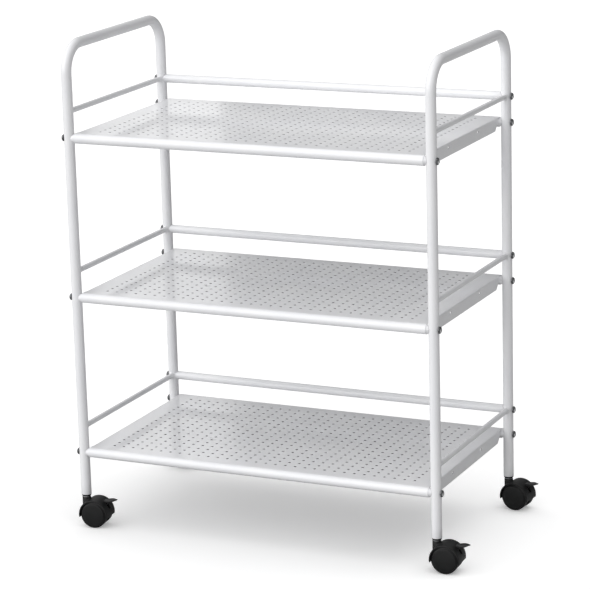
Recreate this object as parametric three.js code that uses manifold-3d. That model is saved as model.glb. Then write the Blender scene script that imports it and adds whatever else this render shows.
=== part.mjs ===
// Three-shelf spa trolley: two bent-tube side frames, three sheet shelves rolled round cross tubes,
// three back rails, eighteen button-head bolts and four braked twin-wheel casters.
// Millimetres. +X right, +Y to the back rails, +Z up, floor at z = 0, origin under the middle of the box.
import * as THREE from 'three';
import { mergeVertices } from 'three/addons/utils/BufferGeometryUtils.js';
import Module from 'manifold-3d';

// ---- driving dimensions ---------------------------------------------------------------------
const LEG_SPACING_X = 700; // left leg axis to right leg axis
const LEG_SPACING_Y = 366; // front leg axis to rear leg axis
const LEG_BOTTOM_Z = 60.5;
const HANDLE_AXIS_Z = 899.5;
const BEND_RADIUS = 50; // centre line of the handle corners
const FRAME_TUBE_R = 9.5;
const FRAME_WALL = 1.2;
const SIDE_RAIL_R = 5;
const SIDE_RAIL_WALL = 1;
const CROSS_TUBE_R = 8; // shelf tubes and back rails
const CROSS_TUBE_WALL = 1;
const END_INSERT_LENGTH = 14; // threaded insert closing each cross tube end
const BOTTOM_SHELF_Z = 142.5; // height of the lowest shelf's tube axes
const SHELF_PITCH = 295.5;
const SHELF_COUNT = 3;
const RAIL_RISE = 48; // rails above the shelf tube axes
const GAP = 0.3; // clearance between pieces that touch

const SHEET_THICKNESS = 1;
const SHEET_LENGTH = 675.2; // along X, over the side flanges
const FLANGE_DROP = 23.2; // deck top to flange edge
const FLANGE_CORNER = 13;
const FLANGE_HOLE_R = 2.5;
const FLANGE_HOLE_Y = 72;
const ROLL_END_ANGLE = 60; // degrees short of a closed roll, measured from straight down

const BOLT_SHANK_R = 3;
const BOLT_HEAD_R = 6.5;
const BOLT_HEAD_HEIGHT = 4.5;
const BOLT_REACH = 32; // shank length, through the leg and into the insert

const WHEEL_R = 25;
const WHEEL_INNER_Y = 6.2; // inner face of each wheel from the caster's middle plane
const WHEEL_OUTER_Y = 20;
const CASTER_TRAIL = 19; // swivel axis to axle
const HOOD_R = 28.3;
const HOOD_INNER_R = 25.9;
const HOOD_EDGE_Z = 20;
const WEB_HALF = 5.6;
const AXLE_R = 2.9;
const AXLE_HALF = 15.5;
const NECK_R = 8;
const NECK_TOP_Z = 55.4;
const STEM_R = 4;
const STEM_FOOT_Z = 34;
const STEM_TOP_Z = 90;
const COLLAR_R = 7;
const COLLAR_HEIGHT = 1.2;
const PLUG_RIM_HEIGHT = 3;
const PLUG_DEPTH = 32;
const LEVER_PIVOT_X = 34.8;
const LEVER_PIVOT_Z = 40.3;
const LEVER_TONGUE_HALF = 3.2;
const LEVER_TIP_X = 62.3;
// how far each caster's trail is swung from +X, in degrees counterclockwise seen from above
const CASTER_TURN = { front_left: 6, front_right: 3, rear_left: 36, rear_right: -7 };

// ---- worked out from the driving dimensions ---------------------------------------------------
const legX = LEG_SPACING_X / 2;
const legY = LEG_SPACING_Y / 2;
const shelfHeights = Array.from({ length: SHELF_COUNT }, (_, i) => BOTTOM_SHELF_Z + i * SHELF_PITCH);
const rollInner = CROSS_TUBE_R + GAP;
const rollOuter = rollInner + SHEET_THICKNESS;
const boltClearance = BOLT_SHANK_R + GAP;
const boltSeatX = legX + FRAME_TUBE_R + GAP;
const hoodHalf = WHEEL_OUTER_Y - 0.2;
const swing = (name) => THREE.MathUtils.degToRad(CASTER_TURN[name]);
// The casters trail to +X and the rear left one also to +Y, so the middle of the bounding box lies a
// little to the right of and behind the frames' middle.
const boxCentreX = (legX + LEVER_TIP_X - (boltSeatX + BOLT_HEAD_HEIGHT)) / 2;
const rearReach = (CASTER_TRAIL + HOOD_R) * Math.sin(swing('rear_left')) + hoodHalf * Math.cos(swing('rear_left'));
const frontReach = (HOOD_R - CASTER_TRAIL) * Math.sin(swing('front_left')) + hoodHalf * Math.cos(swing('front_left'));
const boxCentreY = (rearReach - frontReach) / 2;

const whitePaint = new THREE.MeshStandardMaterial({ color: 0xe6e6e9, roughness: 0.35, metalness: 0.0 });
const darkZinc = new THREE.MeshStandardMaterial({ color: 0x55565a, roughness: 0.3, metalness: 0.9 });
const brightSteel = new THREE.MeshStandardMaterial({ color: 0xb9bbbf, roughness: 0.3, metalness: 1.0 });
const blackNylon = new THREE.MeshStandardMaterial({ color: 0x1c1d1f, roughness: 0.5, metalness: 0.0 });

// ---- solids -----------------------------------------------------------------------------------
const wasm = await Module();
wasm.setup();

function signedVolume(position, index) {
  const a = new THREE.Vector3();
  const b = new THREE.Vector3();
  const c = new THREE.Vector3();
  let volume = 0;
  for (let i = 0; i < index.count; i += 3) {
    a.fromBufferAttribute(position, index.getX(i));
    b.fromBufferAttribute(position, index.getX(i + 1));
    c.fromBufferAttribute(position, index.getX(i + 2));
    volume += a.dot(b.cross(c)) / 6;
  }
  return volume;
}

// A closed three.js geometry as a manifold solid with its faces pointing out.
function solid(geometry) {
  const bare = geometry.clone();
  bare.deleteAttribute('normal');
  bare.deleteAttribute('uv');
  const merged = mergeVertices(bare, 1e-4);
  const triVerts = Uint32Array.from(merged.index.array);
  if (signedVolume(merged.attributes.position, merged.index) < 0) {
    for (let i = 0; i < triVerts.length; i += 3) {
      [triVerts[i + 1], triVerts[i + 2]] = [triVerts[i + 2], triVerts[i + 1]];
    }
  }
  const vertProperties = Float32Array.from(merged.attributes.position.array);
  return new wasm.Manifold(new wasm.Mesh({ numProp: 3, vertProperties, triVerts }));
}

function toGeometry(body) {
  const mesh = body.getMesh();
  const geometry = new THREE.BufferGeometry();
  const xyz = new Float32Array(mesh.numVert * 3);
  for (let i = 0; i < mesh.numVert; i += 1) {
    xyz.set(mesh.vertProperties.subarray(i * mesh.numProp, i * mesh.numProp + 3), i * 3);
  }
  geometry.setAttribute('position', new THREE.BufferAttribute(xyz, 3));
  geometry.setIndex(new THREE.BufferAttribute(Uint32Array.from(mesh.triVerts), 1));
  geometry.computeVertexNormals();
  return geometry;
}

const addAll = (bodies) => bodies.reduce((whole, body) => whole.add(body));
const subtractAll = (body, tools) => tools.reduce((rest, tool) => rest.subtract(tool), body);

const axisX = new THREE.Vector3(1, 0, 0);
const axisY = new THREE.Vector3(0, 1, 0);
const axisZ = new THREE.Vector3(0, 0, 1);
// Turns a shape drawn in X and Y, extruded along Z, into one drawn in Y and Z and extruded along X.
const drawnInYZ = new THREE.Matrix4().makeBasis(axisY, axisZ, axisX);
// The same for a shape drawn in X and Z and extruded along -Y.
const drawnInXZ = new THREE.Matrix4().makeBasis(axisX, axisZ, axisY.clone().negate());

// A body of revolution about the local Y axis from [radius, height] points that start and end on the axis.
function turned(profile, segments, phase = 0) {
  const points = profile.map(([r, h]) => new THREE.Vector2(r, h));
  return new THREE.LatheGeometry(points, segments, phase);
}

function rodAlongX(radius, from, to, y, z, segments) {
  const rod = new THREE.CylinderGeometry(radius, radius, to - from, segments);
  rod.rotateZ(-Math.PI / 2);
  rod.translate((from + to) / 2, y, z);
  return solid(rod);
}

function rodAlongY(radius, from, to, x, z, segments) {
  const rod = new THREE.CylinderGeometry(radius, radius, to - from, segments);
  rod.translate(x, (from + to) / 2, z);
  return solid(rod);
}

function rodAlongZ(radius, from, to, x, y, segments) {
  const rod = new THREE.CylinderGeometry(radius, radius, to - from, segments);
  rod.rotateX(Math.PI / 2);
  rod.translate(x, y, (from + to) / 2);
  return solid(rod);
}

function box(x0, x1, y0, y1, z0, z1) {
  const block = new THREE.BoxGeometry(x1 - x0, y1 - y0, z1 - z0);
  block.translate((x0 + x1) / 2, (y0 + y1) / 2, (z0 + z1) / 2);
  return solid(block);
}

// An outline of [x, z] points as a slab reaching `half` each way along Y.
function slabAcrossY(outline, half) {
  const shape = new THREE.Shape(outline.map(([x, z]) => new THREE.Vector2(x, z)));
  const slab = new THREE.ExtrudeGeometry(shape, { depth: 2 * half, bevelEnabled: false });
  slab.translate(0, 0, -half);
  slab.applyMatrix4(drawnInXZ);
  return solid(slab);
}

// A path with its rings placed where the bends need them instead of at even distances.
class StationedPath extends THREE.Curve {
  constructor(stations) {
    super();
    this.stations = stations;
  }

  stationAt(u) {
    return this.stations[Math.round(u * (this.stations.length - 1))];
  }

  getPointAt(u) {
    return this.stationAt(u).point.clone();
  }

  getTangentAt(u) {
    return this.stationAt(u).tangent.clone();
  }
}

// ---- side frames ------------------------------------------------------------------------------
// The upside-down U of each side frame, in the plane x = 0: up the front leg, over, down the rear leg.
function framePath() {
  const stations = [];
  const at = (y, z, ty, tz) =>
    stations.push({ point: new THREE.Vector3(0, y, z), tangent: new THREE.Vector3(0, ty, tz) });
  const bendY = legY - BEND_RADIUS;
  const bendZ = HANDLE_AXIS_Z - BEND_RADIUS;
  const bendSteps = 5;
  at(-legY, LEG_BOTTOM_Z, 0, 1);
  for (const side of [-1, 1]) {
    for (let i = 0; i <= bendSteps; i += 1) {
      const turn = (Math.PI / 2) * (i / bendSteps) + (side < 0 ? 0 : Math.PI / 2);
      at(
        side * bendY - BEND_RADIUS * Math.cos(turn),
        bendZ + BEND_RADIUS * Math.sin(turn),
        Math.sin(turn),
        Math.cos(turn),
      );
    }
  }
  at(legY, LEG_BOTTOM_Z, 0, -1);
  return new StationedPath(stations);
}

function bentRod(radius) {
  const section = new THREE.Shape();
  section.absarc(0, 0, radius, 0, 2 * Math.PI);
  const path = framePath();
  return solid(
    new THREE.ExtrudeGeometry(section, {
      steps: path.stations.length - 1,
      curveSegments: 8,
      extrudePath: path,
    }),
  );
}

// One welded side frame: the bent tube with three thin rails across it. Vent holes join each rail's
// bore to the legs, and the bolt holes go through both walls of a leg.
function sideFrame() {
  const railSegments = 10;
  const rails = shelfHeights.map((z) =>
    rodAlongY(SIDE_RAIL_R, -legY, legY, 0, z + RAIL_RISE, railSegments));
  const railBores = shelfHeights.map((z) =>
    rodAlongY(SIDE_RAIL_R - SIDE_RAIL_WALL, -legY, legY, 0, z + RAIL_RISE, railSegments));
  const holeX = FRAME_TUBE_R + 1;
  const boltHoles = shelfHeights.flatMap((z) => [
    rodAlongX(boltClearance, -holeX, holeX, -legY, z, 8),
    rodAlongX(boltClearance, -holeX, holeX, legY, z, 8),
    rodAlongX(boltClearance, -holeX, holeX, legY, z + RAIL_RISE, 8),
  ]);
  const outside = addAll([bentRod(FRAME_TUBE_R), ...rails]);
  const openLegEnds = [-1, 1].map((side) =>
    rodAlongZ(FRAME_TUBE_R - FRAME_WALL, LEG_BOTTOM_Z - 1, LEG_BOTTOM_Z + 40, 0, side * legY, 16));
  return subtractAll(outside, [bentRod(FRAME_TUBE_R - FRAME_WALL), ...openLegEnds, ...railBores, ...boltHoles]);
}

// ---- cross tubes ------------------------------------------------------------------------------
// A tube between the side frames, its ends cut to fit round the legs and filled by threaded inserts.
function crossTube(segments) {
  const reach = legX - FRAME_TUBE_R;
  const tube = rodAlongX(CROSS_TUBE_R, -legX, legX, 0, 0, segments);
  const hollow = rodAlongX(
    CROSS_TUBE_R - CROSS_TUBE_WALL, END_INSERT_LENGTH - reach, reach - END_INSERT_LENGTH, 0, 0, segments);
  const tools = [hollow];
  for (const side of [-1, 1]) {
    tools.push(rodAlongZ(FRAME_TUBE_R + GAP, -20, 20, side * legX, 0, 16));
    const threadDepth = reach - END_INSERT_LENGTH - 1;
    const ends = [side * threadDepth, side * legX];
    tools.push(rodAlongX(boltClearance, Math.min(...ends), Math.max(...ends), 0, 0, 8));
  }
  return subtractAll(tube, tools);
}

// ---- shelf sheet ------------------------------------------------------------------------------
// One sheet: a flat deck, its front and rear edges rolled round the shelf tubes and its side edges
// turned down into flat flanges with cut corners. The tube axes are at z = 0.
function shelfSheet() {
  const stop = THREE.MathUtils.degToRad(ROLL_END_ANGLE);
  const section = new THREE.Shape();
  section.absarc(-legY, 0, rollOuter, -stop, -1.5 * Math.PI, true);
  section.absarc(legY, 0, rollOuter, Math.PI / 2, stop - Math.PI, true);
  section.absarc(legY, 0, rollInner, stop - Math.PI, Math.PI / 2, false);
  section.absarc(-legY, 0, rollInner, -1.5 * Math.PI, -stop, false);
  section.closePath();
  const deck = new THREE.ExtrudeGeometry(section, {
    depth: SHEET_LENGTH,
    curveSegments: 7,
    bevelEnabled: false,
  });
  deck.translate(0, 0, -SHEET_LENGTH / 2);
  deck.applyMatrix4(drawnInYZ);

  const flangeY = legY - rollOuter - 1.5;
  const top = rollOuter;
  const bottom = rollOuter - FLANGE_DROP;
  const outline = new THREE.Shape();
  outline.moveTo(-flangeY, top - 0.4);
  outline.lineTo(-flangeY, bottom + FLANGE_CORNER);
  outline.lineTo(-flangeY + FLANGE_CORNER, bottom);
  outline.lineTo(flangeY - FLANGE_CORNER, bottom);
  outline.lineTo(flangeY, bottom + FLANGE_CORNER);
  outline.lineTo(flangeY, top - 0.4);
  for (const side of [-1, 1]) {
    const hole = new THREE.Path();
    hole.absarc(side * FLANGE_HOLE_Y, 1.5, FLANGE_HOLE_R, 0, 2 * Math.PI, true);
    outline.holes.push(hole);
  }
  const flanges = [-1, 1].map((side) => {
    const plate = new THREE.ExtrudeGeometry(outline, {
      depth: SHEET_THICKNESS,
      curveSegments: 4,
      bevelEnabled: false,
    });
    plate.translate(0, 0, side * (SHEET_LENGTH - SHEET_THICKNESS) / 2 - SHEET_THICKNESS / 2);
    plate.applyMatrix4(drawnInYZ);
    return solid(plate);
  });
  return addAll([solid(deck), ...flanges]);
}

// ---- bolt -------------------------------------------------------------------------------------
// A button-head socket bolt pointing out along +X, its seat at x = 0.
function bolt() {
  const r = BOLT_HEAD_R;
  const h = BOLT_HEAD_HEIGHT;
  const head = turned(
    [[0, -BOLT_REACH], [BOLT_SHANK_R - 0.6, -BOLT_REACH], [BOLT_SHANK_R, 0.6 - BOLT_REACH],
      [BOLT_SHANK_R, 0], [r, 0], [r, 0.3 * h], [0.74 * r, 0.82 * h], [0.42 * r, h], [0, h]],
    10);
  head.rotateZ(-Math.PI / 2);
  const socket = new THREE.CylinderGeometry(2.1, 2.1, 4, 6);
  socket.rotateZ(-Math.PI / 2);
  socket.translate(h, 0, 0);
  return solid(head).subtract(solid(socket));
}

// ---- caster -----------------------------------------------------------------------------------
// The caster's own frame has its swivel axis on z, the floor at z = 0 and the axle at x = CASTER_TRAIL.
function legPlug() {
  const rimTop = LEG_BOTTOM_Z - GAP;
  const rimBottom = rimTop - PLUG_RIM_HEIGHT;
  const sleeve = FRAME_TUBE_R - FRAME_WALL - GAP;
  const bore = STEM_R + GAP;
  const plug = turned(
    [[bore, rimBottom], [FRAME_TUBE_R - 1.4, rimBottom], [FRAME_TUBE_R - 0.2, rimTop],
      [sleeve, rimTop], [sleeve - 0.6, rimTop + PLUG_DEPTH], [bore, rimTop + PLUG_DEPTH],
      [bore, rimBottom]],
    16);
  plug.rotateX(Math.PI / 2);
  return solid(plug);
}

function stem() {
  const collarBottom = NECK_TOP_Z + GAP;
  const collarTop = collarBottom + COLLAR_HEIGHT;
  const pin = turned(
    [[0, STEM_FOOT_Z], [STEM_R, STEM_FOOT_Z], [STEM_R, collarBottom], [COLLAR_R, collarBottom],
      [COLLAR_R, collarTop], [STEM_R, collarTop], [STEM_R, STEM_TOP_Z], [0, STEM_TOP_Z]],
    12);
  pin.rotateX(Math.PI / 2);
  return solid(pin);
}

// Black hood over both wheels, with the web between them, the neck round the stem and the slot in
// which the brake lever hangs on its pin.
function housing() {
  const x = CASTER_TRAIL;
  const z = WHEEL_R;
  const hood = rodAlongY(HOOD_R, -hoodHalf, hoodHalf, x, z, 28)
    .intersect(box(x - 40, x + 40, -30, 30, HOOD_EDGE_Z, 80));
  const web = rodAlongY(14, -WEB_HALF, WEB_HALF, x, z, 16);
  const neck = rodAlongZ(NECK_R, 30, NECK_TOP_Z, 0, 0, 16);
  const tools = [
    rodAlongY(HOOD_INNER_R, WEB_HALF, 30, x, z, 28),
    rodAlongY(HOOD_INNER_R, -30, -WEB_HALF, x, z, 28),
    rodAlongY(AXLE_R + GAP, -30, 30, x, z, 12),
    rodAlongZ(STEM_R + GAP, STEM_FOOT_Z - GAP, 80, 0, 0, 12),
    slabAcrossY([[28.8, 42], [30.5, 35.5], [35, 33.8], [60, 33.8], [60, 60], [34, 60]],
      LEVER_TONGUE_HALF + GAP),
    rodAlongY(1.9, -10, 10, LEVER_PIVOT_X, LEVER_PIVOT_Z, 8),
  ];
  return subtractAll(addAll([hood, web, neck]), tools);
}

function axle() {
  return rodAlongY(AXLE_R, -AXLE_HALF, AXLE_HALF, 0, 0, 12);
}

// A wheel turned about Y at the axle, its closed domed face pointing to +Y.
function wheel() {
  const segments = 24;
  const tread = WHEEL_R / Math.cos(Math.PI / segments); // a flat of the tread touches the floor
  const bore = AXLE_R + GAP;
  const face = WHEEL_OUTER_Y;
  const disc = turned(
    [[bore, WHEEL_INNER_Y], [tread, WHEEL_INNER_Y], [tread, face - 1.8], [tread - 2.2, face],
      [0, face + 1.1], [0, AXLE_HALF + 0.5], [bore, AXLE_HALF + 0.5], [bore, WHEEL_INNER_Y]],
    segments, Math.PI / segments);
  return solid(disc);
}

// The brake lever: a tongue on a cross pin inside the hood's slot and a leaf-shaped foot paddle outside.
function brakeLever() {
  const tongue = slabAcrossY(
    [[31.4, 41.2], [33.2, 37.2], [37.2, 37.4], [39.6, 41], [45, 48], [38, 50.5]], LEVER_TONGUE_HALF);
  const pin = rodAlongY(1.6, 0.2 - WEB_HALF, WEB_HALF - 0.2, LEVER_PIVOT_X, LEVER_PIVOT_Z, 8);
  const paddle = slabAcrossY(
    [[36.5, 50.4], [38.5, 48.2], [42, 46.9], [46, 46.9], [50, 48], [54, 49.6], [58, 51.2], [61.5, 52.3],
      [LEVER_TIP_X, 52.8], [60, 53.3], [55, 53.9], [50, 53.7], [44, 52.9], [38, 51.6], [36.5, 51.2]], 12);
  const leafHalf = [[36, 5.4], [42, 7.2], [47, 8.2], [51, 8], [55, 6.4], [59, 4], [61.8, 1.6]];
  const plan = new THREE.Shape([
    ...leafHalf.map(([x, y]) => new THREE.Vector2(x, -y)),
    new THREE.Vector2(LEVER_TIP_X + 0.3, 0),
    ...leafHalf.reverse().map(([x, y]) => new THREE.Vector2(x, y)),
  ]);
  const flare = new THREE.ExtrudeGeometry(plan, { depth: 20, bevelEnabled: false });
  flare.translate(0, 0, 40);
  return addAll([paddle.intersect(solid(flare)), tongue, pin]);
}

// ---- assembly ---------------------------------------------------------------------------------
const cart = new THREE.Group();
cart.name = 'spa_trolley_cart';
cart.position.set(-boxCentreX, -boxCentreY, 0);

function place(group, name, geometry, material, x = 0, y = 0, z = 0) {
  const mesh = new THREE.Mesh(geometry, material);
  mesh.name = name;
  mesh.position.set(x, y, z);
  group.add(mesh);
  return mesh;
}

const shelfNames = ['bottom', 'middle', 'top'];

const frameGeometry = toGeometry(sideFrame());
place(cart, 'left_side_frame', frameGeometry, whitePaint, -legX);
place(cart, 'right_side_frame', frameGeometry, whitePaint, legX);

const shelfTubeGeometry = toGeometry(crossTube(12));
const sheetGeometry = toGeometry(shelfSheet());
const backRailGeometry = toGeometry(crossTube(16));
const boltGeometry = toGeometry(bolt());

function placeBolts(name, y, z) {
  place(cart, `${name}_bolt_right`, boltGeometry, darkZinc, boltSeatX, y, z);
  place(cart, `${name}_bolt_left`, boltGeometry, darkZinc, -boltSeatX, y, z).rotation.z = Math.PI;
}

shelfHeights.forEach((z, i) => {
  const name = shelfNames[i];
  place(cart, `${name}_shelf_sheet`, sheetGeometry, whitePaint, 0, 0, z);
  place(cart, `${name}_shelf_front_tube`, shelfTubeGeometry, whitePaint, 0, -legY, z);
  place(cart, `${name}_shelf_rear_tube`, shelfTubeGeometry, whitePaint, 0, legY, z);
  place(cart, `${name}_back_rail`, backRailGeometry, whitePaint, 0, legY, z + RAIL_RISE);
  placeBolts(`${name}_front_tube`, -legY, z);
  placeBolts(`${name}_rear_tube`, legY, z);
  placeBolts(`${name}_back_rail`, legY, z + RAIL_RISE);
});

const plugGeometry = toGeometry(legPlug());
const stemGeometry = toGeometry(stem());
const housingGeometry = toGeometry(housing());
const axleGeometry = toGeometry(axle());
const wheelGeometry = toGeometry(wheel());
const leverGeometry = toGeometry(brakeLever());

function placeCaster(name, x, y) {
  const caster = new THREE.Group();
  caster.position.set(x, y, 0);
  caster.rotation.z = swing(name);
  cart.add(caster);
  place(caster, `${name}_leg_plug`, plugGeometry, blackNylon);
  place(caster, `${name}_caster_stem`, stemGeometry, brightSteel);
  place(caster, `${name}_caster_housing`, housingGeometry, blackNylon);
  place(caster, `${name}_caster_axle`, axleGeometry, brightSteel, CASTER_TRAIL, 0, WHEEL_R);
  place(caster, `${name}_caster_wheel_a`, wheelGeometry, blackNylon, CASTER_TRAIL, 0, WHEEL_R).rotation.z = Math.PI;
  place(caster, `${name}_caster_wheel_b`, wheelGeometry, blackNylon, CASTER_TRAIL, 0, WHEEL_R);
  place(caster, `${name}_brake_lever`, leverGeometry, blackNylon);
}

placeCaster('front_left', -legX, -legY);
placeCaster('front_right', legX, -legY);
placeCaster('rear_left', -legX, legY);
placeCaster('rear_right', legX, legY);

export default cart;
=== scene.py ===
"""Three-shelf spa trolley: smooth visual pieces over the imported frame, in metres, floor at z = 0."""

import bmesh
import bpy
import math
import numpy as np
from mathutils import Matrix, Vector

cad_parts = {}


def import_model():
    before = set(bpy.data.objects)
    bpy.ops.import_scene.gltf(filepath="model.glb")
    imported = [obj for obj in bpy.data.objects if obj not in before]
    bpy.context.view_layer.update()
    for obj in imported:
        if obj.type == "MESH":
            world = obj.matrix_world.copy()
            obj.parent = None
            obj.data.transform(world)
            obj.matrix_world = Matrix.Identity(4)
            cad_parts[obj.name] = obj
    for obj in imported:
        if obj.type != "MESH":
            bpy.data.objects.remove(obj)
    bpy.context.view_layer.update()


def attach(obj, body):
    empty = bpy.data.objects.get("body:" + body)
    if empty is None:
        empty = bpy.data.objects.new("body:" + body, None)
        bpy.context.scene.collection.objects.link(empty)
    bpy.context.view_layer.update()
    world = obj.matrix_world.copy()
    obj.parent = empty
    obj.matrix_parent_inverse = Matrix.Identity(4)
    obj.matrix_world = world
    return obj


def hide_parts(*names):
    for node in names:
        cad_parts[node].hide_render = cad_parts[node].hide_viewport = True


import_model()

# ---- sizes, in millimetres, as the frame has them -------------------------------------------
MM = 0.001
SHIFT_X, SHIFT_Y = -24.0, -11.5786  # the frames' middle from the origin
LEG_X, LEG_Y = 350.0, 183.0
LEG_BOTTOM = 60.5
HANDLE_AXIS = 899.5
BEND_R = 50.0
TUBE_R, TUBE_WALL = 9.5, 1.2
RAIL_R = 5.0
CROSS_R = 8.0
SHELVES = {"bottom": 142.5, "middle": 438.0, "top": 733.5}
RAIL_RISE = 48.0
GAP = 0.3
ROLL_R = 9.3
SHEET = 1.0
SHEET_X = 337.6
SHEET_BEND = 2.2
FLANGE_Y = 172.2
FLANGE_LOW = -13.9
FLANGE_CORNER = 13.0
FLANGE_HOLE_Y, FLANGE_HOLE_Z, FLANGE_HOLE_R = 72.0, 1.5, 2.5
ROLL_END = math.radians(300)
PITCH_X, PITCH_Y = 19.35, 18.5
COLUMNS, ROWS = 32, 18
HOLE_R = 2.8
HOLE_LIP, HOLE_DEPTH = 0.3, 2.3  # each hole's rounded entry and its drawn-down collar
BOLT_SEAT = LEG_X + TUBE_R + GAP
TRAIL = 19.0
WHEEL_R = 25.0
HOOD_R, HOOD_IN = 28.3, 25.9
HOOD_HALF, HOOD_LOW = 19.8, 20.0  # half width, and the height of its lower edge
WEB_R, WEB_HALF, BOSS_R = 26.1, 5.6, 14.0
SLOT_HALF = 3.5
STEM_BORE, NECK_R, NECK_TOP = 4.3, 8.0, 55.4
# each caster's swivel axis and how many degrees its trail is swung from +X
CASTERS = {
    "front_left": (-LEG_X, -LEG_Y, 6),
    "front_right": (LEG_X, -LEG_Y, 3),
    "rear_left": (-LEG_X, LEG_Y, 36),
    "rear_right": (LEG_X, LEG_Y, -7),
}


# ---- mesh building ----------------------------------------------------------------------------
class Shape:
    """Points in millimetres and the faces between them."""

    def __init__(self):
        self.points = []
        self.faces = []

    def add(self, ring):
        first = len(self.points)
        self.points.extend(tuple(map(float, p)) for p in ring)
        return list(range(first, len(self.points)))

    def loft(self, rings, ring_closed=True, caps=(False, False)):
        rows = [self.add(r) for r in rings]
        n = len(rows[0])
        for a, b in zip(rows, rows[1:]):
            for i in range(n if ring_closed else n - 1):
                j = (i + 1) % n
                self.faces.append((a[i], a[j], b[j], b[i]))
        if caps[0]:
            self.faces.append(tuple(reversed(rows[0])))
        if caps[1]:
            self.faces.append(tuple(rows[-1]))
        return rows

    def turned(self, profile, axis, n=64, at=(0, 0, 0), closed=False):
        """Revolves [radius, height] points about an axis through `at`."""
        angle = around(n)
        rings = []
        for r, h in profile:
            a, b = r * np.cos(angle), r * np.sin(angle)
            cols = {"x": (0 * a + h, a, b), "y": (b, 0 * a + h, a), "z": (a, b, 0 * a + h)}[axis]
            rings.append(np.stack(cols, 1) + np.array(at))
        if closed:
            rings.append(rings[0])
        return self.loft(rings)

    def mesh(self, name, weld=0.002, sharp=40.0):
        bm = bmesh.new()
        verts = [bm.verts.new(Vector(p) * MM) for p in self.points]
        for f in self.faces:
            if len(set(f)) > 2:
                try:
                    bm.faces.new([verts[i] for i in f])
                except ValueError:
                    pass
        bmesh.ops.remove_doubles(bm, verts=bm.verts, dist=weld * MM)
        bmesh.ops.recalc_face_normals(bm, faces=bm.faces)
        data = bpy.data.meshes.new(name)
        bm.to_mesh(data)
        bm.free()
        data.shade_smooth()
        data.set_sharp_from_angle(angle=math.radians(sharp))
        return data


def around(count):
    """Evenly spaced angles of one full turn."""
    return np.arange(count) * 2 * math.pi / count


def arc(radius, start, stop, count, x=0.0, y=0.0):
    """Points on an arc about (x, y), its angles in radians."""
    return [(x + radius * math.cos(a), y + radius * math.sin(a)) for a in np.linspace(start, stop, count)]


def rounded(points, radius, steps=4):
    """An outline of [a, b] points with its corners rounded."""
    out = []
    pts = [np.array(p, float) for p in points]
    for i, p in enumerate(pts):
        before, after = pts[i - 1] - p, pts[(i + 1) % len(pts)] - p
        la, lb = np.linalg.norm(before), np.linalg.norm(after)
        cosine = np.clip(before @ after / (la * lb), -1, 1)
        half = math.acos(cosine) / 2
        reach = min(radius / max(math.tan(half), 1e-3), 0.45 * la, 0.45 * lb)
        start, end = p + before / la * reach, p + after / lb * reach
        for k in range(steps + 1):
            t = k / steps
            out.append((1 - t) ** 2 * start + 2 * t * (1 - t) * p + t * t * end)
    return out


def slab(shape, outline, half, edge=0.5):
    """An [x, z] outline as a slab reaching `half` each way along Y, its rims eased."""
    pts = np.array(outline, float)
    area = 0.5 * np.sum(pts[:, 0] * np.roll(pts[:, 1], -1) - np.roll(pts[:, 0], -1) * pts[:, 1])
    ahead, back = np.roll(pts, -1, 0) - pts, pts - np.roll(pts, 1, 0)
    normal = np.stack([ahead[:, 1] + back[:, 1], -(ahead[:, 0] + back[:, 0])], 1)
    normal /= np.linalg.norm(normal, axis=1)[:, None] * (1 if area > 0 else -1)
    rings = []
    for inset, y in ((edge, -half), (edge * 0.3, -half + edge * 0.3), (0, -half + edge),
                     (0, half - edge), (edge * 0.3, half - edge * 0.3), (edge, half)):
        p = pts - normal * inset
        rings.append(np.stack([p[:, 0], np.full(len(p), y), p[:, 1]], 1))
    shape.loft(rings, caps=(True, True))


pieces = []


def put(name, data, body, node, material, at=(0, 0, 0), turn=0.0):
    """Puts a piece in place of a CAD node. `at` is in millimetres from the frames' middle."""
    piece = bpy.data.objects.new(name, data)
    bpy.context.scene.collection.objects.link(piece)
    piece.location = Vector((at[0] + SHIFT_X, at[1] + SHIFT_Y, at[2])) * MM
    piece.rotation_euler = (0, 0, turn)
    if not data.materials:
        data.materials.append(material)
    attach(piece, body)
    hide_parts(node)
    pieces.append(piece)
    return piece


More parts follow.
